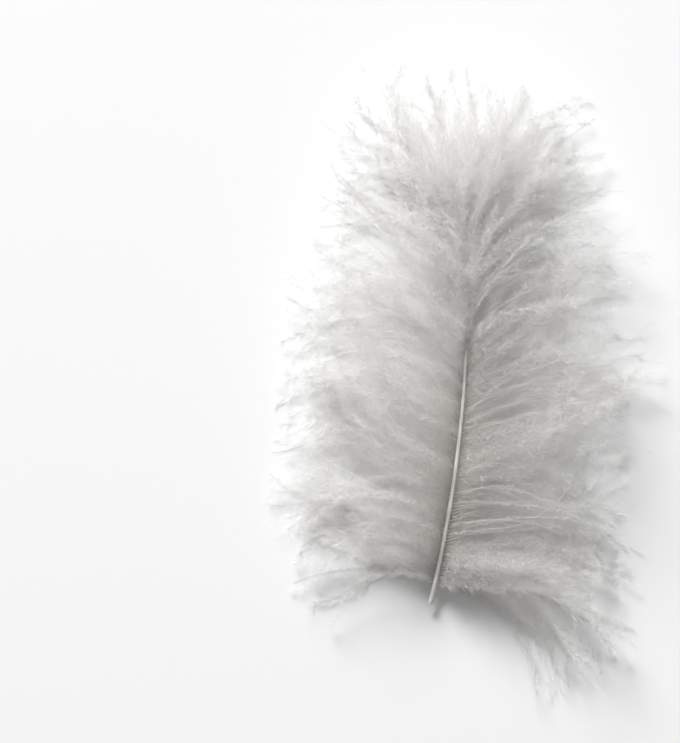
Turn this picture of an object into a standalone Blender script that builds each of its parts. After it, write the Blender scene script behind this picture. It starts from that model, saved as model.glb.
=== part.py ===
"""A single white down feather, lying quill side up on a flat surface.

Metres, +Z up. +Y runs from the cut end of the quill towards the crown of the feather.
The feather grew as one piece, so it is one solid: a slender curved shaft with its soft barbs
gathered in locks, flattened underneath where they lie on the surface.
"""

import math
import random
from collections import namedtuple

import bmesh
import bpy
from mathutils import Vector

# The shaft
SHAFT_LENGTH = 0.098
QUILL_RADIUS = 0.00062
SHAFT_TIP_RADIUS = 0.00030
SHAFT_POINTS = 15
QUILL_END = Vector((-0.0077, -0.0567))
QUILL_END_HEIGHT = 0.0030
SHAFT_RISE = 0.0085
RISE_TURNS = 0.80  # of a half wave over the shaft's length
HEADING_AT_QUILL = math.radians(13)  # from +Y towards +X
HEADING_AT_TIP = math.radians(-3)

# The barbs
FIRST_BARB = 0.0045  # the bare length of quill
BARB_AT_QUILL, BARB_AT_MIDDLE, BARB_AT_TIP = 0.042, 0.054, 0.047  # lengths
SPREAD_AT_QUILL, SPREAD_AT_TIP = math.radians(80), math.radians(44)  # away from the shaft
CURL_AT_QUILL, CURL_AT_TIP = math.radians(62), math.radians(22)  # back towards the quill
CLOSES_FROM, CLOSED_BY = 0.50, 0.75  # where the upper barbs close over the shaft
HUG = 1.10  # how far such barbs keep to the shaft before they bend away

# The locks that the barbs gather in
LOCK_RINGS = 6
LOCK_TIP_RADIUS = 0.00045
SURFACE_OVERLAP = 0.50  # of a lock's radius: the part that the surface presses flat
WAVE = math.radians(14)  # how far a lock bends to and fro on its way out
SWIRL = math.radians(34)  # how far its outer half may turn either way
SEED = 7

Layer = namedtuple("Layer", "count first last lift_quill lift_tip fall spread reach radius")
# Lifts are angles above the horizon where a lock leaves the shaft, at the quill and at the tip
LAYERS = (
    Layer(10, 0.00, 0.94, -48, -38, 10, 1.00, 0.88, 0.0052),
    Layer(10, 0.03, 0.97, -4, 6, 46, 0.96, 0.96, 0.0050),
    Layer(9, 0.07, 0.93, 34, 56, 98, 0.86, 0.94, 0.0048),
)
CROWN_LOCKS = 12
CROWN_FAN = math.radians(46)
CROWN_REACH = 0.044
CROWN_RADIUS = 0.0050
BELLY_LOCKS = 7
BELLY_REACH = 0.026
BELLY_RADIUS = 0.0048
TAIL_REACH = 1.22  # how much longer the drooping locks beside the quill are on the right
TAIL_CURL = math.radians(8)
TAIL_SHARE = 0.09  # of the shaft's barbs belong to that tail


def mix(a, b, t):
    return a + (b - a) * t


def heading(s):
    """The shaft's direction in plan at s metres from the cut end, from +Y towards +X."""
    return mix(HEADING_AT_QUILL, HEADING_AT_TIP, s / SHAFT_LENGTH)


def shaft_point(s):
    """The shaft is an arc in plan, and rises to its middle on the barbs beneath it."""
    turn = (HEADING_AT_TIP - HEADING_AT_QUILL) / SHAFT_LENGTH
    start, here = HEADING_AT_QUILL, heading(s)
    x = (math.cos(start) - math.cos(here)) / turn
    y = (math.sin(here) - math.sin(start)) / turn
    z = QUILL_END_HEIGHT + SHAFT_RISE * math.sin(math.pi * RISE_TURNS * s / SHAFT_LENGTH)
    return Vector((QUILL_END.x + x, QUILL_END.y + y, z))


def barb_length(t):
    """Barbs are short at the quill, longest below the middle and shorter again at the tip."""
    grown = math.sin(math.pi / 2 * min(1.0, t / 0.4))
    faded = max(0.0, t - 0.55) / 0.45
    return mix(mix(BARB_AT_QUILL, BARB_AT_MIDDLE, grown), BARB_AT_TIP, faded)


def lock_radius(u, radius):
    """A lock swells from the shaft and narrows to its tip."""
    body = min(1.0, 0.30 + 2.4 * u) * (1.0 - u**2.4) ** 0.75
    return radius * body + LOCK_TIP_RADIUS


def smooth(low, high, x):
    """0 below low, 1 above high, and an even S between."""
    t = min(1.0, max(0.0, (x - low) / (high - low)))
    return t * t * (3.0 - 2.0 * t)


def lock_line(s, turn_out, curl, lift, fall, length, radius, phase=0.0, swirl=0.0, hug=0.0):
    """Points of a lock from the shaft to its tip, kept on the surface where it droops to it."""
    steps = LOCK_RINGS - 1
    fine = 6  # shorter steps between two points
    stride = length / (steps * fine)
    point = shaft_point(s)
    line = [point.copy()]
    for i in range(steps * fine):
        u = (i + 0.5) / (steps * fine)
        plan = heading(s) + turn_out * (1 - hug * (1 - u) ** 3) + curl * u + swirl * u * u
        plan += WAVE * u * math.sin(math.tau * 1.1 * u + phase)
        deepest = (SURFACE_OVERLAP * lock_radius(u, radius) - point.z) / stride
        climb = max(lift - fall * u, math.asin(min(1.0, max(-1.0, deepest))))
        level = math.cos(climb)
        point = point + stride * Vector((level * math.sin(plan), level * math.cos(plan), math.sin(climb)))
        if (i + 1) % fine == 0:
            line.append(point.copy())
    return line


def side_locks(wobble):
    """(line, radius) of the locks on both sides of the shaft, layer by layer."""
    for level, layer in enumerate(LAYERS):
        for side in (-1, 1):
            for i in range(layer.count):
                t = mix(layer.first, layer.last, i / (layer.count - 1))
                t = min(1.0, max(0.0, t + wobble.uniform(-0.02, 0.02)))
                s = mix(FIRST_BARB, SHAFT_LENGTH, t)
                spread = mix(SPREAD_AT_QUILL, SPREAD_AT_TIP, t) * layer.spread + math.radians(wobble.uniform(-6, 6))
                curl = mix(CURL_AT_QUILL, CURL_AT_TIP, math.sqrt(t)) + math.radians(wobble.uniform(-9, 9))
                lift = math.radians(mix(layer.lift_quill, layer.lift_tip, t) + wobble.uniform(-6, 6))
                fall = math.radians(layer.fall + wobble.uniform(-6, 6))
                length = barb_length(t) * layer.reach * wobble.uniform(0.92, 1.06)
                phase = wobble.uniform(0, math.tau)
                swirl = SWIRL * wobble.uniform(-1, 1)
                if side > 0 and t < TAIL_SHARE:
                    length *= TAIL_REACH
                    curl += TAIL_CURL
                    swirl *= 0.2
                hug = HUG * smooth(CLOSES_FROM, CLOSED_BY, t) * (level == 2)
                turn_out, curl = side * spread, side * curl
                line = lock_line(s, turn_out, curl, lift, fall, length, layer.radius, phase, swirl, hug)
                yield line, layer.radius * wobble.uniform(0.92, 1.08)


def crown_locks(wobble):
    """The locks that fan out past the tip of the shaft."""
    for i in range(CROWN_LOCKS):
        across = mix(-1.0, 1.0, i / (CROWN_LOCKS - 1))
        turn_out = CROWN_FAN * across
        lift = math.radians(wobble.uniform(8, 30) if i % 2 else wobble.uniform(-34, -16))
        length = CROWN_REACH * wobble.uniform(0.94, 1.04)
        s = SHAFT_LENGTH - 0.004 * (i % 2) - 0.003
        fall = math.radians(60 if i % 2 else 20)
        phase = wobble.uniform(0, math.tau)
        swirl = 0.6 * SWIRL * wobble.uniform(-1, 1)
        line = lock_line(s, turn_out, turn_out * 0.15, lift, fall, length, CROWN_RADIUS, phase, swirl)
        yield line, CROWN_RADIUS


def belly_locks(wobble):
    """The barbs that are caught under the shaft and carry it."""
    for i in range(BELLY_LOCKS):
        t = mix(0.10, 0.86, i / (BELLY_LOCKS - 1))
        s = mix(FIRST_BARB, SHAFT_LENGTH, t)
        turn_out = math.radians(16) * (1 if i % 2 else -1)
        lift, fall = math.radians(-66), math.radians(-30)
        line = lock_line(s, turn_out, 0.0, lift, fall, BELLY_REACH, BELLY_RADIUS)
        yield line, BELLY_RADIUS * wobble.uniform(0.96, 1.04)


def tube(name, line, radii, sides_step, material):
    """A closed tube through the points, with its own radius at each, as a mesh object."""
    curve = bpy.data.curves.new(name, "CURVE")
    curve.dimensions = "3D"
    curve.bevel_depth = 1.0
    curve.bevel_resolution = sides_step
    curve.use_fill_caps = True
    spline = curve.splines.new("POLY")
    spline.points.add(len(line) - 1)
    for spot, place, radius in zip(spline.points, line, radii):
        spot.co = (*place, 1.0)
        spot.radius = radius
    guide = bpy.data.objects.new(name + "_curve", curve)
    bpy.context.scene.collection.objects.link(guide)
    bpy.context.view_layer.update()
    evaluated = guide.evaluated_get(bpy.context.evaluated_depsgraph_get())
    mesh = bpy.data.meshes.new_from_object(evaluated)
    bpy.data.objects.remove(guide)
    bpy.data.curves.remove(curve)
    shape = bmesh.new()
    shape.from_mesh(mesh)
    bmesh.ops.remove_doubles(shape, verts=shape.verts, dist=1e-6)
    bmesh.ops.recalc_face_normals(shape, faces=shape.faces)
    shape.to_mesh(mesh)
    shape.free()
    mesh.name = name
    mesh.materials.clear()
    mesh.materials.append(material)
    return bpy.data.objects.new(name, mesh)


def down_material():
    material = bpy.data.materials.new("white_down")
    material.use_nodes = True
    shader = material.node_tree.nodes["Principled BSDF"]
    shader.inputs["Base Color"].default_value = (0.80, 0.79, 0.77, 1.0)
    shader.inputs["Roughness"].default_value = 0.85
    shader.inputs["Metallic"].default_value = 0.0
    return material


def surface_cutter():
    """A block whose top is the surface that the feather lies on."""
    bpy.ops.mesh.primitive_cube_add(size=1.0, location=(0.0, 0.0, -0.025))
    block = bpy.context.active_object
    block.name = "surface_cutter"
    block.scale = (0.30, 0.30, 0.05)
    bpy.ops.object.transform_apply(location=True, rotation=False, scale=True)
    return block


def helper(obj):
    obj.hide_render = True
    obj.display_type = "WIRE"


def keep_outer_skin(feather):
    """Carry out the joins, and fill the small pockets that the locks close in between them."""
    bpy.context.view_layer.update()
    evaluated = feather.evaluated_get(bpy.context.evaluated_depsgraph_get())
    mesh = bpy.data.meshes.new_from_object(evaluated)
    shape = bmesh.new()
    shape.from_mesh(mesh)
    skins = []
    seen = set()
    for first in shape.faces:
        if first in seen:
            continue
        seen.add(first)
        skin = [first]
        for face in skin:
            for edge in face.edges:
                for other in edge.link_faces:
                    if other not in seen:
                        seen.add(other)
                        skin.append(other)
        skins.append(skin)
    skins.sort(key=len)
    pockets = [face for skin in skins[:-1] for face in skin]
    bmesh.ops.delete(shape, geom=pockets, context="FACES")
    bmesh.ops.triangulate(shape, faces=shape.faces)
    shape.to_mesh(mesh)
    shape.free()
    feather.modifiers.clear()
    feather.data = mesh
    mesh.name = "down_feather"


def main():
    for obj in list(bpy.data.objects):
        bpy.data.objects.remove(obj)
    parts = bpy.data.collections.new("down_feather_parts")
    locks = bpy.data.collections.new("joined_locks")
    cutters = bpy.data.collections.new("cutters")
    for group in (parts, locks, cutters):
        bpy.context.scene.collection.children.link(group)

    material = down_material()
    stations = [SHAFT_LENGTH * i / (SHAFT_POINTS - 1) for i in range(SHAFT_POINTS)]
    radii = [mix(QUILL_RADIUS, SHAFT_TIP_RADIUS, s / SHAFT_LENGTH) for s in stations]
    feather = tube("down_feather", [shaft_point(s) for s in stations], radii, 1, material)
    parts.objects.link(feather)

    block = surface_cutter()
    for group in list(block.users_collection):
        group.objects.unlink(block)
    cutters.objects.link(block)
    helper(block)

    wobble = random.Random(SEED)
    made = [*side_locks(wobble), *crown_locks(wobble), *belly_locks(wobble)]
    for number, (line, radius) in enumerate(made):
        widths = [lock_radius(i / (LOCK_RINGS - 1), radius) for i in range(LOCK_RINGS)]
        widths[-1] = LOCK_TIP_RADIUS
        lock = tube(f"lock_{number:02d}", line, widths, 1, material)
        locks.objects.link(lock)
        helper(lock)
        cut = lock.modifiers.new("lie_on_surface", "BOOLEAN")
        cut.operation = "DIFFERENCE"
        cut.object = block
        cut.solver = "EXACT"

    join = feather.modifiers.new("join_locks", "BOOLEAN")
    join.operation = "UNION"
    join.operand_type = "COLLECTION"
    join.collection = locks
    join.solver = "EXACT"
    keep_outer_skin(feather)


main()
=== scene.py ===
"""A loose white down feather on a pale table, seen from straight above.

The feather is built as it grew: a horny quill and shaft, several hundred soft barbs that leave it
on both sides, and the fine barbules along every barb that make the down. The barbs follow the
locks of the solid model, so the same values shape both.
"""

import math
import random
from collections import namedtuple

import bmesh
import bpy
import numpy as np
from mathutils import Matrix, Vector


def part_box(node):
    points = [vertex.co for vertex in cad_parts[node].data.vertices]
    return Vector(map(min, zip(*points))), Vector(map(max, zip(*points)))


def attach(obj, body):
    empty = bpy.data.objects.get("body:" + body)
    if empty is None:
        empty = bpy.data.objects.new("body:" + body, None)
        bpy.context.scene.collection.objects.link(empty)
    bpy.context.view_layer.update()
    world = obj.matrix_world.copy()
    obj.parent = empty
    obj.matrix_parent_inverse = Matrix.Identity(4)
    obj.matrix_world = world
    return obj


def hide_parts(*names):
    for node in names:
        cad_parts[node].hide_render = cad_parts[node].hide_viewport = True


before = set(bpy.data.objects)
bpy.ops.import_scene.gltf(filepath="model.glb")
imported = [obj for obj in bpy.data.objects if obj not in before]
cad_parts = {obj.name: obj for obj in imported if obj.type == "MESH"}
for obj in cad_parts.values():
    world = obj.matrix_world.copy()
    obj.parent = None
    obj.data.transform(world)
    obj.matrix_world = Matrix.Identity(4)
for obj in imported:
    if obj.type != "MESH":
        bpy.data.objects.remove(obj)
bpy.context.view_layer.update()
LOW, HIGH = (np.array(corner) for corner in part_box("down_feather"))

MM = 0.001
NODE = "down_feather"
BODY = "root"
CHART = "OFBake"  # the map of each piece of down, across it from root to tip

# The shaft, as in the solid model
SHAFT_LENGTH = 0.098
QUILL_RADIUS = 0.00062
SHAFT_TIP_RADIUS = 0.00030
QUILL_END = Vector((-0.0077, -0.0567))
QUILL_END_HEIGHT = 0.0030
SHAFT_RISE = 0.0085
RISE_TURNS = 0.80
HEADING_AT_QUILL = math.radians(13)
HEADING_AT_TIP = math.radians(-3)

# The locks, as in the solid model
FIRST_BARB = 0.0045
BARB_AT_QUILL, BARB_AT_MIDDLE, BARB_AT_TIP = 0.042, 0.054, 0.047
SPREAD_AT_QUILL, SPREAD_AT_TIP = math.radians(80), math.radians(44)
CURL_AT_QUILL, CURL_AT_TIP = math.radians(62), math.radians(22)
CLOSES_FROM, CLOSED_BY = 0.50, 0.75  # where the down closes over the shaft
HUG = 1.10  # how far such barbs keep to the shaft before they bend away
LOCK_TIP_RADIUS = 0.00045
SURFACE_OVERLAP = 0.50
WAVE = math.radians(14)
WAVE_TURNS = 1.1
SWIRL = math.radians(34)
SEED = 7

# Lifts and falls are in degrees, spread and reach are times as much, and the radius is in metres
Layer = namedtuple("Layer", "count first last lift_quill lift_tip fall spread reach radius")
LAYERS = (
    Layer(10, 0.00, 0.94, -48, -38, 10, 1.00, 0.88, 0.0052),
    Layer(10, 0.03, 0.97, -4, 6, 46, 0.96, 0.96, 0.0050),
    Layer(9, 0.07, 0.93, 34, 56, 98, 0.86, 0.94, 0.0048),
)
LOWEST, TOPMOST, CROWN, BELLY = 0, 2, 3, 4  # the numbers of the outer layers and of the other groups
CROWN_LOCKS = 12
CROWN_FAN = math.radians(46)
CROWN_REACH = 0.044
CROWN_RADIUS = 0.0050
CROWN_CURL_SHARE, CROWN_SWIRL_SHARE = 0.15, 0.6
BELLY_LOCKS = 7
BELLY_REACH = 0.026
BELLY_RADIUS = 0.0048
BELLY_LIFT, BELLY_FALL = math.radians(-66), math.radians(-30)
BELLY_SPREAD = math.radians(16)
BELLY_FROM, BELLY_TO = 0.10, 0.86
TAIL_REACH = 1.22
TAIL_CURL = math.radians(8)
TAIL_SHARE = 0.09
TAIL_SWIRL_SHARE = 0.2
LOCK_SHIFT = 0.02  # how far a lock may be shifted along the shaft, either way
LOCK_LENGTHS = (0.92, 1.06)

# How locks differ, and how barbs differ from the locks that they belong to, angles in degrees
Scatter = namedtuple("Scatter", "spread curl lift fall swirl", defaults=[0] * 5)
LOCK_SCATTER = Scatter(spread=6, curl=9, lift=6, fall=6)
SIDE_SCATTER = Scatter(spread=5, curl=10, lift=10, fall=9, swirl=16)
CROWN_SCATTER = Scatter(lift=9, swirl=14)
COVER_SCATTER = Scatter(lift=6, swirl=24)
BELLY_SCATTER = Scatter(spread=24, lift=8)
CROWN_MIXING = 0.12  # how far a crown barb stands from its lock, as a share of the fan
SWIRL_KEPT = 0.8
LONGEST = 1.08
SHORTEST = (0.84, 0.76, 0.76)  # in each layer
CROWN_LENGTHS = (0.56, 1.05)
COVER_LENGTHS = (0.7, 1.15)
BELLY_LENGTHS = (0.8, 1.1)
ROOT_RIM = 0.85  # how deep in the shaft the barbs are rooted
ROOT_STEP = 0.25  # how much higher each layer's roots are
COVER_RIM, BELLY_RIM = 0.6, 0.8  # how far above and below the shaft's middle their barbs are rooted
CROWN_ROOTS = (-4.0, 2.8)  # along the shaft from the lock's own root, in mm
BELLY_ROOTS = (-6, 6)
BELLY_CURL_SHARE = 0.2
FRAY = 0.0034  # how far the tips of a lock's barbs stand apart
LEAST_HUG, MOST_HUG = 0.8, 1.6
HUG_LOST = (0.9, 0.5, 0.0)  # in each layer

# How much barbs are drawn to their locks
DRAWN_FROM, DRAWN_BY = 0.05, 0.75  # where along a barb
SIDE_FULLEST, BELLY_FULLEST = 0.95, 0.9  # how much of a lock's thickness its barbs fill
LOOSER_FROM, LOOSER_BY = 0.50, 0.80  # where along the shaft
HOLD = (0.40, 0.80)
HOLD_TOWARDS_CROWN = 0.55
HOLD_OF_TAIL = 0.8
LOOSE_HOLD = (0.05, 0.35)
CROWN_HOLD = (0.10, 0.60)
BELLY_HOLD = (0.4, 0.9)

# Short barbs over the far part of the shaft
COVERED_FROM = 0.63
COVER_REACH = 0.027
COVER_SPREAD = (-24, 56)
COVER_LIFT = (60, 28)
COVER_CURL = (-20, 34)
COVER_FALL = (70, 110)
COVER_CROWDING = 1.3

# The tuft beside the quill
TAIL_EASED = math.radians(-5)  # its barbs bend a little less than its locks
TAIL_TURN_KEPT = 0.3
TAIL_SHORTEST = 0.93
TAIL_CROWDING = 1.10  # barbs stand closer near the quill on the tail's side

# Tufts, ripples and bare hairs
TUFTS_ON_A_SIDE = 13  # in each layer
TUFT_TURN = math.radians(36)  # how much tufts curl to one side or the other
TUFT_RISE = math.radians(18)
TURN_SHARES = (0.1, 1.4)
BENT_FROM, BENT_BY = 0.20, 0.95  # where along a barb
STEEPEST = 1.4  # radians
TUFT_EDGE = 0.10  # how ragged the edges between tufts are
CURLY_TUFTS = 0.32  # of the upper layers' tufts, those that curl right round towards the crown
CURLY_TURN = math.radians(84)
LOWEST_TURN = 0.4  # the lowest layer keeps to the outline
CROWN_TURN = 0.6
LOOSE_TURN = math.radians(46)
LOOSE_SHARE = 0.15
BARE_SHARE = 0.07  # barbs whose barbules cling to them, which show as bright hairs
HAIRY_TUFTS = 0.24  # tufts that are mostly such barbs
BARE_IN_HAIRY = 0.6
SIDE_RIPPLE, LOOSE_RIPPLE, CROWN_RIPPLE, COVER_RIPPLE, BELLY_RIPPLE = 1.1, 1.7, 1.4, 1.2, 0.6  # mm
BARE_RIPPLE = 0.4  # beside that of other barbs
RIPPLE_TURNS = (0.8, 1.9, 3.3)
RIPPLE_UPWARDS = 0.6

# How light the roots are, from 0 beside the quill to 1 as at the tips; partly painted light and shade
# dark roots low on the shaft paint shade beside the quill; lighter roots towards the crown, on the covering
# barbs and on the tail paint out shade that falls there
PALE_ROOTS = 0.60
PALE_FROM, PALE_BY = 0.40, 0.80
TAIL_PALE = 0.35
COVER_PALE = 0.85
BELLY_PALE = 0.22

# How finely the down is made
STRIDES = 30  # small steps along a barb
RINGS = STRIDES // 2 + 1
BARBS_ON_A_SIDE = 312
CROWN_BARBS = 150
BELLY_BARBS = 37
COVER_BARBS = 72
TAIL_BARBS = 27  # besides those of the right side
BARBULES_ON_A_BARB = 510
BARBULES_BELOW = 300

# The stems of the barbs, in millimetres
STEM_AT_ROOT, STEM_AT_TIP = 0.055, 0.016
ROOT_FLARE, FLARE_SHARE = 0.045, 0.02
ROOT_TAPER, TAPER_SHARE = 0.030, 0.10
BARE_STEM = 1.5  # times as thick

# The barbules, in millimetres and degrees
FIRST_BARBULE = 0.018
BARBULE_AT_ROOT, BARBULE_AT_TIP = 3.0, 2.1
SHORTEST_BARBULE = 0.25
FULL_LENGTH_BY = 0.06
BARE_BARBULE = 0.35  # times as long
LEAN_AT_ROOT, LEAN_AT_TIP, LEAN_SCATTER = 64, 44, 11
BARBULE_BEND = 0.35
BARBULE_SAG = 0.12
BARBULE_ELBOW = 0.45
BARBULE_HALF_WIDTH = 0.024
BARBULE_LENGTHS, BARB_FULLNESS = (0.5, 1.2), (0.8, 1.15)  # from thread to thread and barb to barb

# The map of the down
MAP_MARGIN, MAP_WIDTH = 0.02, 0.95
MAP_STEP = 0.003  # how far apart the corners of a thread lie

# How far the down may reach
PAST_SOLID = np.array([0.9, 1.9, -0.6]) * MM
SOFT_EDGE = np.array([3.0, 3.0, 0.6]) * MM
BARB_CLEARANCE = 0.4 * MM
BELLY_CLEARANCE = 0.3 * MM
LEAST_HEIGHT = 0.10 * MM
BARBULE_LEAST_HEIGHT, BARBULE_TIP_LEAST_HEIGHT = 0.05 * MM, 0.04 * MM
BARBULE_MOST_HEIGHT = HIGH[2] + 0.4 * MM


def mix(a, b, t):
    return a + (b - a) * t


def smooth(low, high, x):
    """0 below low, 1 above high, and an even S between."""
    t = np.clip((x - low) / (high - low), 0.0, 1.0)
    return t * t * (3.0 - 2.0 * t)


# Where things grow


def heading(s):
    return mix(HEADING_AT_QUILL, HEADING_AT_TIP, s / SHAFT_LENGTH)


def shaft_at(s):
    """Points of the shaft's middle line, s metres from the cut end of the quill."""
    s = np.asarray(s, dtype=float)
    turn = (HEADING_AT_TIP - HEADING_AT_QUILL) / SHAFT_LENGTH
    here = heading(s)
    x = QUILL_END.x + (math.cos(HEADING_AT_QUILL) - np.cos(here)) / turn
    y = QUILL_END.y + (np.sin(here) - math.sin(HEADING_AT_QUILL)) / turn
    z = QUILL_END_HEIGHT + SHAFT_RISE * np.sin(math.pi * RISE_TURNS * s / SHAFT_LENGTH)
    return np.stack([x, y, z], axis=-1)


def shaft_radius(s):
    return mix(QUILL_RADIUS, SHAFT_TIP_RADIUS, np.asarray(s) / SHAFT_LENGTH)


def barb_length(t):
    """Longest in the middle of the shaft, and shortest beside the quill."""
    grown = np.sin(math.pi / 2 * np.minimum(1.0, t / 0.4))
    faded = np.maximum(0.0, t - 0.55) / 0.45
    return mix(mix(BARB_AT_QUILL, BARB_AT_MIDDLE, grown), BARB_AT_TIP, faded)


def lock_radius(u, radius):
    body = np.minimum(1.0, 0.30 + 2.4 * u) * (1.0 - u**2.4) ** 0.75
    return radius * body + LOCK_TIP_RADIUS


def grow(roots, s, turn_out, curl, lift, fall, length, phase, swirl, hug, clearance):
    """Lines of barbs or locks from their roots, each bending down until the surface stops it."""
    stride = length / STRIDES
    point = roots.copy()
    line = [point.copy()]
    for i in range(STRIDES):
        u = (i + 0.5) / STRIDES
        plan = heading(s) + turn_out * (1 - hug * (1 - u) ** 3) + curl * u + swirl * u * u
        plan = plan + WAVE * u * np.sin(math.tau * WAVE_TURNS * u + phase)
        deepest = np.clip((clearance(u) - point[:, 2]) / stride, -1.0, 1.0)
        climb = np.maximum(lift - fall * u, np.arcsin(deepest))
        level = np.cos(climb) * stride
        step = [level * np.sin(plan), level * np.cos(plan), np.sin(climb) * stride]
        point = point + np.stack(step, axis=-1)
        if i % 2:
            line.append(point.copy())
    return np.stack(line, axis=1)


Lock = namedtuple("Lock", "group side t s turn_out curl lift fall length radius phase swirl hug")
Locks = namedtuple("Locks", "each lines")


def either_way(wobble, most):
    return wobble.uniform(-most, most)


def side_locks(wobble):
    """The locks on both sides of the shaft, with the same small irregularities as the solid's."""
    for level, layer in enumerate(LAYERS):
        for side in (-1, 1):
            for i in range(layer.count):
                t = mix(layer.first, layer.last, i / (layer.count - 1))
                t = min(1.0, max(0.0, t + either_way(wobble, LOCK_SHIFT)))
                s = mix(FIRST_BARB, SHAFT_LENGTH, t)
                spread = mix(SPREAD_AT_QUILL, SPREAD_AT_TIP, t) * layer.spread
                spread += math.radians(either_way(wobble, LOCK_SCATTER.spread))
                curl = mix(CURL_AT_QUILL, CURL_AT_TIP, math.sqrt(t))
                curl += math.radians(either_way(wobble, LOCK_SCATTER.curl))
                lift = mix(layer.lift_quill, layer.lift_tip, t) + either_way(wobble, LOCK_SCATTER.lift)
                fall = layer.fall + either_way(wobble, LOCK_SCATTER.fall)
                length = float(barb_length(t)) * layer.reach * wobble.uniform(*LOCK_LENGTHS)
                phase = wobble.uniform(0, math.tau)
                swirl = SWIRL * either_way(wobble, 1)
                if side > 0 and t < TAIL_SHARE:
                    length *= TAIL_REACH
                    curl += TAIL_CURL
                    swirl *= TAIL_SWIRL_SHARE
                hug = HUG * float(smooth(CLOSES_FROM, CLOSED_BY, t)) * (level == TOPMOST)
                yield Lock(
                    level, side, t, s, side * spread, side * curl, math.radians(lift), math.radians(fall),
                    length, layer.radius, phase, swirl, hug,
                )
                wobble.uniform(0.92, 1.08)  # the solid's locks differ in thickness too


def crown_locks(wobble):
    """The locks that fan out past the end of the shaft, high and low by turns."""
    for i in range(CROWN_LOCKS):
        high = i % 2
        across = mix(-1.0, 1.0, i / (CROWN_LOCKS - 1))
        turn_out = CROWN_FAN * across
        lift = math.radians(wobble.uniform(8, 30) if high else wobble.uniform(-34, -16))
        length = CROWN_REACH * wobble.uniform(0.94, 1.04)
        s = SHAFT_LENGTH - 0.004 * high - 0.003
        fall = math.radians(60 if high else 20)
        phase = wobble.uniform(0, math.tau)
        swirl = CROWN_SWIRL_SHARE * SWIRL * either_way(wobble, 1)
        curl = turn_out * CROWN_CURL_SHARE
        yield Lock(CROWN, 0, across, s, turn_out, curl, lift, fall, length, CROWN_RADIUS, phase, swirl, 0.0)


def belly_locks():
    """The locks under the shaft, leaning to the left and right by turns."""
    for i in range(BELLY_LOCKS):
        t = mix(BELLY_FROM, BELLY_TO, i / (BELLY_LOCKS - 1))
        s = mix(FIRST_BARB, SHAFT_LENGTH, t)
        turn_out = BELLY_SPREAD * (1 if i % 2 else -1)
        yield Lock(
            BELLY, 0, t, s, turn_out, 0.0, BELLY_LIFT, BELLY_FALL, BELLY_REACH, BELLY_RADIUS, 0.0, 0.0, 0.0
        )


def all_locks():
    wobble = random.Random(SEED)
    locks = [*side_locks(wobble), *crown_locks(wobble), *belly_locks()]
    each = Lock(*np.array(locks, dtype=float).T)
    lines = grow(
        shaft_at(each.s), each.s, each.turn_out, each.curl, each.lift, each.fall,
        each.length, each.phase, each.swirl, each.hug,
        lambda u: SURFACE_OVERLAP * lock_radius(u, each.radius),
    )
    return Locks(each, lines)


# The barbs

Barbs = namedtuple("Barbs", "lines pale bare")  # pale: how light the root is; bare: its barbules cling


def gather(lines, locks, mates, hold, dice, fullest=SIDE_FULLEST):
    """Draws barbs towards the lock that each belongs to, more and more towards their tips."""
    u = np.linspace(0.0, 1.0, RINGS)
    count = len(lines)
    angle = dice.uniform(0, math.tau, count)[:, None, None]
    reach = np.sqrt(dice.uniform(0.02, 1.0, count)) * fullest
    tangent = np.gradient(locks.lines[mates], axis=1)
    tangent /= np.linalg.norm(tangent, axis=2, keepdims=True)
    across = np.cross(tangent, np.array([0.0, 0.0, 1.0]))
    across /= np.maximum(1e-9, np.linalg.norm(across, axis=2, keepdims=True))
    over = np.cross(across, tangent)
    width = lock_radius(u[None, :], locks.each.radius[mates][:, None]) + FRAY * u[None, :] ** 2
    width = (width * reach[:, None])[..., None]
    aim = locks.lines[mates] + width * (np.cos(angle) * across + np.sin(angle) * over)
    pull = (hold[:, None] * smooth(DRAWN_FROM, DRAWN_BY, u)[None, :])[..., None]
    return mix(lines, aim, pull)


def ripple(lines, height, dice):
    """Soft waves along each barb, none at its root, with their height in millimetres."""
    u = np.linspace(0.0, 1.0, RINGS)[None, :, None]
    count = len(lines)
    height = (np.broadcast_to(height, count) * MM)[:, None, None]
    for turns in RIPPLE_TURNS:
        way = dice.normal(0.0, 1.0, (count, 1, 3)) * np.array([1.0, 1.0, RIPPLE_UPWARDS])
        phase = dice.uniform(0, math.tau, (count, 1, 1))
        wave = np.sin(math.tau * turns * u + phase) - np.sin(phase)
        lines = lines + way * height / turns * u * wave
    return lines


def bend(lines, turn, rise):
    """Curls barbs more and more towards their tips, sideways by turn and upwards by rise."""
    steps = np.diff(lines, axis=1)
    u = (np.arange(RINGS - 1) + 0.5) / (RINGS - 1)
    share = smooth(BENT_FROM, BENT_BY, u)[None, :]
    size = np.linalg.norm(steps, axis=2)
    plan = np.arctan2(steps[..., 0], steps[..., 1]) + turn[:, None] * share
    climb = np.arcsin(np.clip(steps[..., 2] / size, -1.0, 1.0)) + rise[:, None] * share
    climb = np.clip(climb, -STEEPEST, STEEPEST)
    level = np.cos(climb) * size
    steps = np.stack([level * np.sin(plan), level * np.cos(plan), np.sin(climb) * size], axis=-1)
    return np.concatenate([lines[:, :1], lines[:, :1] + np.cumsum(steps, axis=1)], axis=1)


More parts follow.
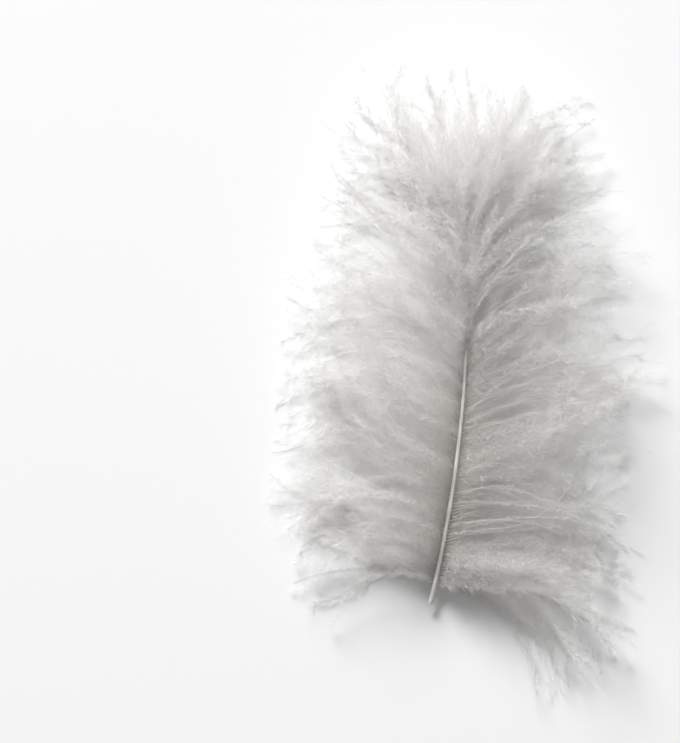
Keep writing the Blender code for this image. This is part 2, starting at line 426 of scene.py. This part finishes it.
def curl_tufts(lines, side, t, level, loose, tail, dice):
    """Curls the tufts of each layer towards and away from each other, and says which barbs are bare."""
    count = len(lines)
    tufts = TUFTS_ON_A_SIDE + 1
    tuft = np.floor(t * TUFTS_ON_A_SIDE + level / len(LAYERS) + dice.normal(0, TUFT_EDGE, count))
    mine = (level, tuft.astype(int) % tufts)
    order = np.arange(len(LAYERS))[:, None] + np.arange(tufts)[None, :]
    turns = TUFT_TURN * (-1.0) ** order * dice.uniform(*TURN_SHARES, order.shape)
    curly = dice.uniform(0, 1, order.shape) < CURLY_TUFTS
    curly[LOWEST] = False
    turns = np.where(curly, -side * CURLY_TURN, turns)
    turns[LOWEST] *= LOWEST_TURN
    rises = dice.normal(0, TUFT_RISE, order.shape)
    turn = turns[mine] + dice.normal(0, 0.2, count) * TUFT_TURN
    rise = rises[mine] + dice.normal(0, 0.4, count) * TUFT_RISE
    turn = np.where(loose, dice.normal(0, LOOSE_TURN, count), turn)
    turn = np.where(tail, TAIL_EASED + TAIL_TURN_KEPT * turn, turn)
    hairy = dice.uniform(0, 1, order.shape) < HAIRY_TUFTS
    bare = dice.uniform(0, 1, count) < np.where(hairy[mine], BARE_IN_HAIRY, BARE_SHARE)
    return bend(lines, turn, rise), bare & ~tail


def kept_in(lines):
    """Holds every barb above the surface and within the reach of the solid."""
    low, high = LOW - PAST_SOLID, HIGH + PAST_SOLID
    low[2] = LEAST_HEIGHT
    out = lines.copy()
    for axis in range(3):
        room = SOFT_EDGE[axis]
        above = out[..., axis] - (high[axis] - room)
        held = high[axis] - room + room * np.tanh(above / room)
        out[..., axis] = np.where(above > 0, held, out[..., axis])
        below = (low[axis] + room) - out[..., axis]
        held = low[axis] + room - room * np.tanh(below / room)
        out[..., axis] = np.where(below > 0, held, out[..., axis])
    return out


def finished(lines, height, pale, dice):
    """Ripples barbs that are in no tuft, and makes a few of them bare."""
    count = len(lines)
    lines = kept_in(ripple(lines, height, dice))
    return Barbs(lines, np.full(count, pale), dice.uniform(0, 1, count) < BARE_SHARE)


def side_barbs(side, count, share, locks, dice):
    """Barbs on one side, evenly rooted along a share of the shaft, each drawn to the lock that it joins."""
    t = (np.arange(count) + 0.5) / count + dice.uniform(-0.3, 0.3, count) / count
    t = share * t ** (TAIL_CROWDING if side > 0 else 1.0)
    tail = (t < TAIL_SHARE) & (side > 0)
    s = mix(FIRST_BARB, SHAFT_LENGTH, t)
    level = np.arange(count) % len(LAYERS)
    layer = Layer(*np.array(LAYERS, dtype=float)[level].T)
    spread = mix(SPREAD_AT_QUILL, SPREAD_AT_TIP, t) * layer.spread
    spread = spread + np.radians(dice.normal(0, SIDE_SCATTER.spread, count))
    curl = mix(CURL_AT_QUILL, CURL_AT_TIP, np.sqrt(t))
    curl = curl + np.radians(dice.normal(0, SIDE_SCATTER.curl, count))
    lift = np.radians(mix(layer.lift_quill, layer.lift_tip, t))
    lift = lift + np.radians(dice.normal(0, SIDE_SCATTER.lift, count))
    fall = np.radians(layer.fall + dice.normal(0, SIDE_SCATTER.fall, count))
    shortest = np.where(tail, TAIL_SHORTEST, np.array(SHORTEST)[level])
    length = barb_length(t) * layer.reach * mix(shortest, LONGEST, dice.uniform(0, 1, count))
    length = np.where(tail, length * TAIL_REACH, length)
    curl = np.where(tail, curl + TAIL_CURL, curl)
    phase = dice.uniform(0, math.tau, count)

    each = locks.each
    others = (each.group[None, :] != level[:, None]) | (each.side[None, :] != side)
    mates = np.argmin(np.where(others, np.inf, np.abs(each.t[None, :] - t[:, None])), axis=1)

    out = heading(s) + side * math.pi / 2
    rim = shaft_radius(s) * ROOT_RIM
    root = [np.sin(out) * rim, np.cos(out) * rim, (level - 1) * ROOT_STEP * rim]
    roots = shaft_at(s) + np.stack(root, axis=-1)
    swirl = SWIRL_KEPT * each.swirl[mates] + np.radians(dice.normal(0, SIDE_SCATTER.swirl, count))
    hug = dice.uniform(LEAST_HUG, MOST_HUG, count) - np.array(HUG_LOST)[level]
    hug = HUG * smooth(CLOSES_FROM, CLOSED_BY, t) * hug
    lines = grow(
        roots, s, side * spread, side * curl, lift, fall, length, phase, swirl, hug,
        lambda u: BARB_CLEARANCE,
    )
    loose = dice.uniform(0, 1, count) < LOOSE_SHARE
    hold = np.where(loose, dice.uniform(*LOOSE_HOLD, count), dice.uniform(*HOLD, count))
    towards_crown = mix(1.0, HOLD_TOWARDS_CROWN, smooth(LOOSER_FROM, LOOSER_BY, t))
    lines = gather(lines, locks, mates, hold * np.where(tail, HOLD_OF_TAIL, towards_crown), dice)
    lines, bare = curl_tufts(lines, side, t, level, loose, tail, dice)
    height = np.where(loose, LOOSE_RIPPLE, SIDE_RIPPLE) * np.where(bare, BARE_RIPPLE, 1.0)
    lines = ripple(lines, height, dice)
    # Painted shade and light: roots darkest low on the shaft, lighter towards the crown and on the tail
    pale = np.where(tail, TAIL_PALE, PALE_ROOTS * smooth(PALE_FROM, PALE_BY, t))
    return t, Barbs(kept_in(lines), pale, bare)


def crown_barbs(locks, dice):
    """Barbs that fan out past the end of the shaft."""
    count = CROWN_BARBS
    each = locks.each
    members = np.flatnonzero(each.group == CROWN)
    mates = members[np.arange(count) % len(members)]
    across = each.t[mates] + dice.normal(0, CROWN_MIXING, count)
    s = np.minimum(each.s[mates] + dice.uniform(*CROWN_ROOTS, count) * MM, SHAFT_LENGTH)
    turn_out = CROWN_FAN * across
    lift = each.lift[mates] + np.radians(dice.normal(0, CROWN_SCATTER.lift, count))
    length = CROWN_REACH * dice.uniform(*CROWN_LENGTHS, count)
    phase = dice.uniform(0, math.tau, count)
    swirl = each.swirl[mates] + np.radians(dice.normal(0, CROWN_SCATTER.swirl, count))
    curl = turn_out * CROWN_CURL_SHARE
    lines = grow(
        shaft_at(s), s, turn_out, curl, lift, each.fall[mates], length, phase, swirl, 0.0,
        lambda u: BARB_CLEARANCE,
    )
    lines = gather(lines, locks, mates, dice.uniform(*CROWN_HOLD, count), dice)
    turn = dice.normal(0, CROWN_TURN, count) * TUFT_TURN
    lines = bend(lines, turn, dice.normal(0, CROWN_TURN, count) * TUFT_RISE)
    return finished(lines, CROWN_RIPPLE, PALE_ROOTS, dice)


def cover_barbs(dice):
    """Short barbs that stand up from the far part of the shaft and fall over it towards the crown."""
    count = COVER_BARBS
    t = mix(COVERED_FROM, 1.0, (np.arange(count) + dice.uniform(0, 1, count)) / count)
    s = mix(FIRST_BARB, SHAFT_LENGTH, t)
    side = np.where(np.arange(count) % 2, 1.0, -1.0)
    outward = dice.uniform(0, 1, count) ** COVER_CROWDING
    turn_out = side * np.radians(mix(*COVER_SPREAD, outward))
    curl = side * np.radians(dice.uniform(*COVER_CURL, count))
    lift = np.radians(mix(*COVER_LIFT, outward) + dice.normal(0, COVER_SCATTER.lift, count))
    fall = np.radians(dice.uniform(*COVER_FALL, count))
    length = COVER_REACH * dice.uniform(*COVER_LENGTHS, count)
    phase = dice.uniform(0, math.tau, count)
    swirl = np.radians(dice.normal(0, COVER_SCATTER.swirl, count))
    roots = shaft_at(s) + np.array([0, 0, 1]) * (shaft_radius(s) * COVER_RIM)[:, None]
    lines = grow(
        roots, s, turn_out, curl, lift, fall, length, phase, swirl, 0.0, lambda u: BARB_CLEARANCE
    )
    return finished(lines, COVER_RIPPLE, COVER_PALE, dice)


def belly_barbs(locks, dice):
    """Barbs under the shaft, which keep it off the table."""
    count = BELLY_BARBS
    each = locks.each
    members = np.flatnonzero(each.group == BELLY)
    mates = members[np.arange(count) % len(members)]
    s = np.clip(each.s[mates] + dice.uniform(*BELLY_ROOTS, count) * MM, FIRST_BARB, SHAFT_LENGTH)
    roots = shaft_at(s) - np.array([0, 0, 1]) * (shaft_radius(s) * BELLY_RIM)[:, None]
    turn_out = np.radians(dice.normal(0, BELLY_SCATTER.spread, count))
    lift = each.lift[mates] + np.radians(dice.normal(0, BELLY_SCATTER.lift, count))
    length = BELLY_REACH * dice.uniform(*BELLY_LENGTHS, count)
    phase = dice.uniform(0, math.tau, count)
    curl = turn_out * BELLY_CURL_SHARE
    lines = grow(
        roots, s, turn_out, curl, lift, each.fall[mates], length, phase, 0.0, 0.0,
        lambda u: BELLY_CLEARANCE,
    )
    lines = gather(lines, locks, mates, dice.uniform(*BELLY_HOLD, count), dice, BELLY_FULLEST)
    return finished(lines, BELLY_RIPPLE, BELLY_PALE, dice)


def directions(lines):
    """Unit vectors along each barb and two across it."""
    along = np.gradient(lines, axis=1)
    along /= np.maximum(1e-12, np.linalg.norm(along, axis=2, keepdims=True))
    across = np.cross(along, np.array([0.0, 0.0, 1.0]))
    size = np.linalg.norm(across, axis=2, keepdims=True)
    across = np.where(size > 1e-3, across / np.maximum(size, 1e-9), np.array([1.0, 0.0, 0.0]))
    return along, across, np.cross(across, along)


def place_in_map(u, pale, tone):
    """Where a point lies in the piece's map: across it from root to tip, and up it by tone.

    A barb that is paler at its root starts further across.
    """
    across = MAP_MARGIN + MAP_WIDTH * mix(pale, 1.0, u)
    return np.stack([across, MAP_MARGIN + MAP_WIDTH * tone], axis=-1)


def barb_stems(barbs, tone):
    """Three-sided closed stems that taper from a flared root to a fine tip."""
    lines, pale, bare = barbs
    count = len(lines)
    u = np.linspace(0.0, 1.0, RINGS)
    _, across, over = directions(lines)
    radius = mix(STEM_AT_ROOT, STEM_AT_TIP, u) + ROOT_FLARE * np.exp(-u / FLARE_SHARE)
    radius = (radius + ROOT_TAPER * np.exp(-u / TAPER_SHARE)) * MM
    radius = radius[None, :, None] * np.where(bare, BARE_STEM, 1.0)[:, None, None]
    corners = []
    for k in range(3):
        angle = math.tau * k / 3
        corners.append(lines + radius * (math.cos(angle) * across + math.sin(angle) * over))
    points = np.stack(corners, axis=2).reshape(-1, 3)
    whole = (count, RINGS, 3)
    pale, tone = (np.broadcast_to(value[:, None, None], whole) for value in (pale, tone))
    where = place_in_map(np.broadcast_to(u[None, :, None], whole), pale, tone)
    where = where + MAP_STEP * np.array([[0.0, 0.0], [0.0, 1.0], [1.0, 0.5]])
    first = np.arange(count) * RINGS * 3
    last = first + (RINGS - 1) * 3
    base = first[:, None, None] + (np.arange(RINGS - 1) * 3)[None, :, None]
    k = np.arange(3)[None, None, :]
    a, b = base + k, base + (k + 1) % 3
    c, d = b + 3, a + 3
    near, far = (np.stack(face, axis=-1).reshape(-1, 3) for face in ((a, b, c), (a, c, d)))
    root_cap = np.stack([first + 2, first + 1, first], axis=-1)
    tip_cap = np.stack([last, last + 1, last + 2], axis=-1)
    return points, np.concatenate([near, far, root_cap, tip_cap]), where.reshape(-1, 2)


def barbules(barbs, tone, each, dice):
    """Fine bent threads all round each barb, long near its root and shorter at its tip."""
    lines, pale, bare = barbs
    count = len(lines)
    u = (np.arange(each)[None, :] + dice.uniform(0, 1, (count, each))) / each
    u = np.minimum(FIRST_BARBULE + (1 - FIRST_BARBULE) * u**1.08, 0.999)
    at = u * (RINGS - 1)
    ring = np.floor(at).astype(int)
    part = (at - ring)[..., None]
    row = np.arange(count)[:, None]

    def between(values):
        return mix(values[row, ring], values[row, ring + 1], part)

    root, (ahead, side, up) = between(lines), (between(way) for way in directions(lines))
    angle = dice.uniform(0, math.tau, u.shape)
    outward = np.cos(angle)[..., None] * side + np.sin(angle)[..., None] * up
    lean = np.radians(mix(LEAN_AT_ROOT, LEAN_AT_TIP, u) + dice.normal(0, LEAN_SCATTER, u.shape))[..., None]
    way = np.cos(lean) * ahead + np.sin(lean) * outward
    length = mix(BARBULE_AT_ROOT, BARBULE_AT_TIP, u**1.5) * smooth(-0.01, FULL_LENGTH_BY, u)
    length = length * dice.uniform(*BARBULE_LENGTHS, u.shape)
    length = length * np.where(bare, BARE_BARBULE, dice.uniform(*BARB_FULLNESS, count))[:, None]
    length = np.maximum(length, SHORTEST_BARBULE)[..., None] * MM
    turn = dice.normal(0, BARBULE_BEND, (*u.shape, 3)) + BARBULE_BEND * ahead
    onward = way + (turn - np.array([0, 0, BARBULE_SAG]))
    middle = root + way * length * BARBULE_ELBOW
    onward = onward / np.linalg.norm(onward, axis=-1, keepdims=True)
    tip = middle + onward * length * (1 - BARBULE_ELBOW)
    middle[..., 2] = np.clip(middle[..., 2], BARBULE_LEAST_HEIGHT, BARBULE_MOST_HEIGHT)
    tip[..., 2] = np.clip(tip[..., 2], BARBULE_TIP_LEAST_HEIGHT, BARBULE_MOST_HEIGHT)
    flat = np.cross(way, dice.normal(0, 1, (*u.shape, 3)))
    flat /= np.maximum(1e-9, np.linalg.norm(flat, axis=-1, keepdims=True))
    half = flat * (BARBULE_HALF_WIDTH * MM)
    points = np.stack([root, middle + half, middle - half, tip], axis=2).reshape(-1, 3)
    first = np.arange(count * each) * 4
    inner = np.stack([first, first + 2, first + 1], axis=-1)
    outer = np.stack([first + 1, first + 2, first + 3], axis=-1)
    pale, tone = (np.broadcast_to(value[:, None, None], (*u.shape, 1)) for value in (pale, tone))
    where = place_in_map(u[..., None], pale, tone)
    where = where + MAP_STEP * np.array([[0.0, 0.0], [1.0, 0.0], [0.0, 1.0], [1.0, 1.0]])
    return points, np.concatenate([inner, outer]), where.reshape(-1, 2)


def as_piece(name, mesh, material):
    """Puts a mesh in the scene as a piece of the feather."""
    mesh.materials.append(material)
    piece = bpy.data.objects.new(name, mesh)
    bpy.context.scene.collection.objects.link(piece)
    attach(piece, BODY)
    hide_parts(NODE)


def down_piece(name, barbs, each, material, dice):
    """One named piece of the down: its barbs and all their barbules."""
    tone = dice.uniform(0.0, 1.0, len(barbs.lines))
    points, faces, where = barb_stems(barbs, tone)
    more_points, more_faces, more_where = barbules(barbs, tone, each, dice)
    faces = np.concatenate([faces, more_faces + len(points)])
    points = np.concatenate([points, more_points])
    where = np.concatenate([where, more_where])
    mesh = bpy.data.meshes.new(name)
    mesh.vertices.add(len(points))
    mesh.vertices.foreach_set("co", points.astype(np.float32).ravel())
    mesh.loops.add(len(faces) * 3)
    mesh.loops.foreach_set("vertex_index", faces.astype(np.int32).ravel())
    mesh.polygons.add(len(faces))
    mesh.polygons.foreach_set("loop_start", np.arange(0, len(faces) * 3, 3, dtype=np.int32))
    chart = mesh.uv_layers.new(name=CHART)
    chart.uv.foreach_set("vector", where[faces.ravel()].astype(np.float32).ravel())
    mesh.update(calc_edges=True)
    mesh.validate()
    as_piece(name, mesh, material)


# The quill and shaft

KNOT_AT = 0.0235  # a slight knot in the shaft, from the cut end, where a thin sheath ends
KNOT_SWELL = 0.14
KNOT_LENGTH = 0.0011
KNOT_SHIFT = 0.0010  # how far past the sheath's end the knot is thickest
SHEATH_BEFORE, SHEATH_AFTER = 0.0010, 0.0006  # where the sheath thins out, from the knot
CLEAR_BEFORE, CLEAR_AFTER = 0.0006, 0.0004  # where the horn turns clear, from the knot
BELOW_KNOT = 0.90  # how thin the bare quill is beside the sheathed shaft
SHAFT_SIDES = 16
SHAFT_RINGS = 72
SHAFT_FLATNESS = 0.92
BORE = 0.56 * QUILL_RADIUS  # the hollow in the cut end, which closes in a rounded bottom
BORE_PROFILE = (  # along the quill, and out from its middle
    (0.0040, 0.25 * BORE),
    (0.0036, 0.75 * BORE),
    (0.0026, BORE),
    (0.0002, BORE),
    (0.0, 1.06 * BORE),
)
CUT_RIM = (-0.00002, 0.80 * QUILL_RADIUS)
CUT_EDGE = 0.00012  # how far the rounded rim reaches along the quill


def shaft_frame(s):
    """A matrix at s on the shaft whose Z runs along it."""
    here, ahead = shaft_at(s), shaft_at(s + 0.0002)
    along = Vector(ahead - here).normalized()
    side = along.cross(Vector((0, 0, 1))).normalized()
    over = side.cross(along)
    turned = Matrix((side, over, along)).transposed().to_4x4()
    return Matrix.Translation(Vector(here)) @ turned


def shaft_profile():
    """Places and radii along the shaft, from inside its bore, over the cut rim and out to the tip."""
    yield from BORE_PROFILE
    yield CUT_RIM
    for i in range(SHAFT_RINGS):
        s = max(SHAFT_LENGTH * i / (SHAFT_RINGS - 1), CUT_EDGE)
        sheath = float(smooth(KNOT_AT - SHEATH_BEFORE, KNOT_AT + SHEATH_AFTER, s))
        from_knot = (s - KNOT_AT - KNOT_SHIFT) / KNOT_LENGTH
        swell = mix(BELOW_KNOT, 1.0, sheath) + KNOT_SWELL * math.exp(-(from_knot**2))
        yield s, float(shaft_radius(s)) * swell


def number_by_place(parts, place):
    """Numbers a shape's corners or faces by where they are, because bmesh's own order can vary."""
    for number, part in enumerate(sorted(parts, key=place)):
        part.index = number
    parts.sort()


def quill_and_shaft(material):
    """A hollow-ended quill that runs on as a slender shaft, with one slight knot."""
    shape = bmesh.new()
    ring = bmesh.ops.create_circle(shape, cap_ends=False, segments=SHAFT_SIDES, radius=1.0)["verts"]
    edges = shape.edges[:]
    previous = Matrix.Identity(4)
    for i, (s, radius) in enumerate(shaft_profile()):
        if i:
            grown = bmesh.ops.extrude_edge_only(shape, edges=edges)["geom"]
            ring = [part for part in grown if isinstance(part, bmesh.types.BMVert)]
            edges = [part for part in grown if isinstance(part, bmesh.types.BMEdge)]
        goal = shaft_frame(s) @ Matrix.Diagonal((radius, radius * SHAFT_FLATNESS, 1.0, 1.0))
        bmesh.ops.transform(shape, matrix=goal @ previous.inverted(), verts=ring)
        previous = goal
    bmesh.ops.holes_fill(shape, edges=shape.edges, sides=SHAFT_SIDES)
    bmesh.ops.recalc_face_normals(shape, faces=shape.faces)
    number_by_place(shape.verts, lambda vert: tuple(vert.co))
    number_by_place(shape.faces, lambda face: tuple(face.calc_center_median()))
    for face in shape.faces:
        face.smooth = len(face.verts) == 4
    mesh = bpy.data.meshes.new("quill_and_shaft")
    shape.to_mesh(mesh)
    shape.free()
    as_piece("quill_and_shaft", mesh, material)


# Finishes

# Root to tip: the darker, warmer root is partly the down's own tone and partly painted shade for the deep
# fluff beside the shaft
DOWN_ROOT = (0.86, 0.845, 0.82, 1)
DOWN_MIDDLE = (0.87, 0.86, 0.845, 1)
DOWN_TIP = (0.935, 0.932, 0.925, 1)
DOWN_GLOW = 0.42  # how much of the light passes through the threads
IVORY_DARK = (0.90, 0.88, 0.84, 1)
IVORY_LIGHT = (0.96, 0.945, 0.915, 1)
CLEAR_HORN = (0.79, 0.76, 0.71, 1)
CLEAR_SHARE = 0.7
STREAKS_ALONG, STREAKS_ACROSS = 160, 5200  # in a metre
TABLE_WHITE = (0.88, 0.88, 0.88, 1)


def new_material(name):
    """A material with its node tree and its Principled shader."""
    material = bpy.data.materials.new(name)
    material.use_nodes = True
    return material, material.node_tree, material.node_tree.nodes["Principled BSDF"]


def map_range(tree, low, high):
    """A node that spreads 0 to 1 over another range."""
    node = tree.nodes.new("ShaderNodeMapRange")
    node.inputs["To Min"].default_value = low
    node.inputs["To Max"].default_value = high
    return node


def down_finish():
    """White down: matt threads that let light through, darker and warmer towards the root, partly the
    down's own tone and partly painted shade for the deep fluff beside the shaft.
    """
    material, tree, skin = new_material("white_down")
    nodes, links = tree.nodes, tree.links
    chart = nodes.new("ShaderNodeUVMap")
    chart.uv_map = CHART
    split = nodes.new("ShaderNodeSeparateXYZ")
    along = nodes.new("ShaderNodeValToRGB")
    along.color_ramp.elements[0].color = DOWN_ROOT
    along.color_ramp.elements[1].color = DOWN_TIP
    along.color_ramp.elements.new(0.40).color = DOWN_MIDDLE
    shade = map_range(tree, 0.93, 1.03)
    tinted = nodes.new("ShaderNodeVectorMath")
    tinted.operation = "SCALE"
    skin.inputs["Roughness"].default_value = 0.62
    skin.inputs["Specular IOR Level"].default_value = 0.25
    glow = nodes.new("ShaderNodeBsdfTranslucent")
    both = nodes.new("ShaderNodeMixShader")
    both.inputs["Fac"].default_value = DOWN_GLOW
    links.new(chart.outputs["UV"], split.inputs["Vector"])
    links.new(split.outputs["X"], along.inputs["Fac"])
    links.new(split.outputs["Y"], shade.inputs["Value"])
    links.new(along.outputs["Color"], tinted.inputs[0])
    links.new(shade.outputs["Result"], tinted.inputs["Scale"])
    links.new(tinted.outputs["Vector"], skin.inputs["Base Color"])
    links.new(tinted.outputs["Vector"], glow.inputs["Color"])
    links.new(skin.outputs["BSDF"], both.inputs[1])
    links.new(glow.outputs["BSDF"], both.inputs[2])
    links.new(both.outputs["Shader"], nodes["Material Output"].inputs["Surface"])
    return material


def horn_finish():
    """Ivory horn with a satin gloss and fine lengthwise streaks, clearer and darker below the knot."""
    material, tree, skin = new_material("ivory_horn")
    nodes, links = tree.nodes, tree.links
    place = nodes.new("ShaderNodeTexCoord")
    stretch = nodes.new("ShaderNodeMapping")
    stretch.inputs["Rotation"].default_value = (0, 0, math.radians(7))
    stretch.inputs["Scale"].default_value = (STREAKS_ACROSS, STREAKS_ALONG, STREAKS_ACROSS)
    streaks = nodes.new("ShaderNodeTexNoise")
    streaks.inputs["Scale"].default_value = 1.0
    streaks.inputs["Detail"].default_value = 3.0
    tint = nodes.new("ShaderNodeValToRGB")
    tint.color_ramp.elements[0].position = 0.35
    tint.color_ramp.elements[0].color = IVORY_DARK
    tint.color_ramp.elements[1].position = 0.62
    tint.color_ramp.elements[1].color = IVORY_LIGHT
    split = nodes.new("ShaderNodeSeparateXYZ")
    knot = float(shaft_at(KNOT_AT)[1])
    cut_end = map_range(tree, CLEAR_SHARE, 0.0)
    cut_end.inputs["From Min"].default_value = knot - CLEAR_BEFORE
    cut_end.inputs["From Max"].default_value = knot + CLEAR_AFTER
    clear = nodes.new("ShaderNodeMix")
    clear.data_type = "RGBA"
    clear.inputs[7].default_value = CLEAR_HORN
    gloss = map_range(tree, 0.60, 0.46)
    bump = nodes.new("ShaderNodeBump")
    bump.inputs["Strength"].default_value = 0.25
    bump.inputs["Distance"].default_value = 0.04 * MM
    skin.inputs["Subsurface Weight"].default_value = 0.25
    skin.inputs["Subsurface Scale"].default_value = 0.4 * MM
    skin.inputs["Coat Weight"].default_value = 0.15
    links.new(place.outputs["Object"], stretch.inputs["Vector"])
    links.new(stretch.outputs["Vector"], streaks.inputs["Vector"])
    links.new(streaks.outputs["Fac"], tint.inputs["Fac"])
    links.new(place.outputs["Object"], split.inputs["Vector"])
    links.new(split.outputs["Y"], cut_end.inputs["Value"])
    links.new(cut_end.outputs["Result"], clear.inputs["Factor"])
    links.new(tint.outputs["Color"], clear.inputs[6])
    links.new(clear.outputs[2], skin.inputs["Base Color"])
    links.new(streaks.outputs["Fac"], gloss.inputs["Value"])
    links.new(gloss.outputs["Result"], skin.inputs["Roughness"])
    links.new(streaks.outputs["Fac"], bump.inputs["Height"])
    links.new(bump.outputs["Normal"], skin.inputs["Normal"])
    return material


# The table, the light and the camera

TABLE_HALF_WIDTH = 1.5
WORLD_LIGHT = 0.18
KEY_PLACE, KEY_SIZE, KEY_POWER = (-1.20, 3.19, 2.12), 1.60, 262.0
FILL_PLACE, FILL_SIZE, FILL_POWER = (0.55, -0.35, 1.0), 0.9, 0.9
CAMERA_HEIGHT = 0.90
SENSOR_HEIGHT = 24.0  # mm
MM_PER_PIXEL = 0.25
PHOTO_WIDTH, PHOTO_HEIGHT = 680, 743
QUILL_END_PIXEL = (430, 603)  # where the photograph shows the cut end


def table():
    shape = bmesh.new()
    bmesh.ops.create_grid(shape, x_segments=1, y_segments=1, size=TABLE_HALF_WIDTH)
    mesh = bpy.data.meshes.new("table")
    shape.to_mesh(mesh)
    shape.free()
    paint, _, skin = new_material("pale_table")
    skin.inputs["Base Color"].default_value = TABLE_WHITE
    skin.inputs["Roughness"].default_value = 0.9
    skin.inputs["Specular IOR Level"].default_value = 0.1
    mesh.materials.append(paint)
    floor = bpy.data.objects.new("table", mesh)
    bpy.context.scene.collection.objects.link(floor)


def lamp(name, place, size, power):
    """A square soft light that points at the feather."""
    light = bpy.data.lights.new(name, "AREA")
    light.shape = "SQUARE"
    light.size = size
    light.energy = power
    stand = bpy.data.objects.new(name, light)
    stand.location = place
    stand.rotation_euler = (-Vector(place)).to_track_quat("-Z", "Y").to_euler()
    bpy.context.scene.collection.objects.link(stand)


def studio():
    world = bpy.data.worlds.new("studio")
    world.use_nodes = True
    sky = world.node_tree.nodes["Background"]
    sky.inputs["Color"].default_value = (1, 1, 1, 1)
    sky.inputs["Strength"].default_value = WORLD_LIGHT
    scene = bpy.context.scene
    scene.world = world
    lamp("soft_key", KEY_PLACE, KEY_SIZE, KEY_POWER)
    lamp("soft_fill", FILL_PLACE, FILL_SIZE, FILL_POWER)
    scene.view_settings.view_transform = "Standard"
    scene.view_settings.look = "None"
    scene.cycles.diffuse_bounces = 8
    scene.cycles.max_bounces = 16


def camera():
    """Looks straight down, with the cut end of the quill where the photograph has it."""
    pixel = MM_PER_PIXEL * MM
    lens = bpy.data.cameras.new("camera")
    lens.sensor_fit = "VERTICAL"
    lens.sensor_height = SENSOR_HEIGHT
    lens.lens = SENSOR_HEIGHT * CAMERA_HEIGHT / (PHOTO_HEIGHT * pixel)
    lens.clip_start, lens.clip_end = 0.01, 10.0
    eye = bpy.data.objects.new("camera", lens)
    x = QUILL_END.x + (PHOTO_WIDTH / 2 - QUILL_END_PIXEL[0]) * pixel
    y = QUILL_END.y + (QUILL_END_PIXEL[1] - PHOTO_HEIGHT / 2) * pixel
    eye.location = (x, y, CAMERA_HEIGHT)
    bpy.context.scene.collection.objects.link(eye)
    bpy.context.scene.camera = eye


def feather():
    """The quill and shaft, and all the down, in pieces named for where they grow."""
    locks = all_locks()
    down = down_finish()
    quill_and_shaft(horn_finish())
    for side, name in ((-1, "left"), (1, "right")):
        dice = np.random.default_rng(SEED + 10 + side)
        t, barbs = side_barbs(side, BARBS_ON_A_SIDE, 1.0, locks, dice)
        for half, where in (("lower", t < 0.5), ("upper", t >= 0.5)):
            some = Barbs(*(values[where] for values in barbs))
            down_piece(f"{name}_{half}_barbs", some, BARBULES_ON_A_BARB, down, dice)
    dice = np.random.default_rng(SEED + 30)
    _, barbs = side_barbs(1, TAIL_BARBS, TAIL_SHARE, locks, dice)
    down_piece("tail_barbs", barbs, BARBULES_ON_A_BARB, down, dice)
    dice = np.random.default_rng(SEED + 20)
    down_piece("crown_barbs", crown_barbs(locks, dice), BARBULES_ON_A_BARB, down, dice)
    down_piece("covering_barbs", cover_barbs(dice), BARBULES_ON_A_BARB, down, dice)
    down_piece("underside_barbs", belly_barbs(locks, dice), BARBULES_BELOW, down, dice)


feather()
table()
studio()
camera()
